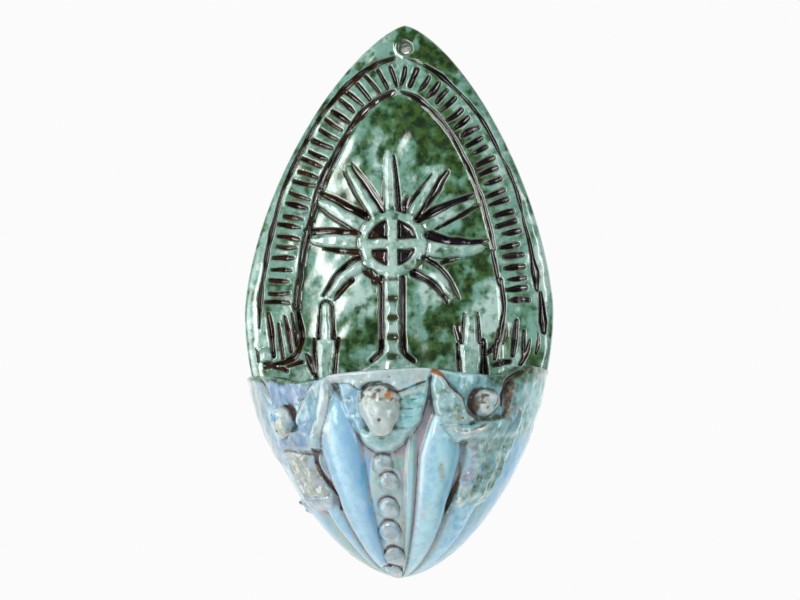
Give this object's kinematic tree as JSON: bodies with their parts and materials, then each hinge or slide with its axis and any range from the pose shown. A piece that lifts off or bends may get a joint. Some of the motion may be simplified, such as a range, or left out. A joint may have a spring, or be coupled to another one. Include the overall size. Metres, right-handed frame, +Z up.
{
  "type": "wall-hung holy water font",
  "caption": "Almond-shaped glazed wall stoup: carved back plate with stole, monstrance and candles over a fluted half-shell bowl with cherub and angels.",
  "frame": {"origin": "on the flat back face, on the centre line, about 15 mm under the hanging hole", "axes": "+Z up, +Y into the wall along the back face's normal, the front faces -Y, +X to the viewer's right"},
  "size_m": [0.192, 0.0908, 0.3432],
  "materials": {
    "glaze": "glossy copper-green and sky-blue glaze over carved earthenware, dark in the cuts, bare clay at chips"
  },
  "bodies": {
    "root": {"holy_water_font": "glaze"}
  },
  "joints": []
}
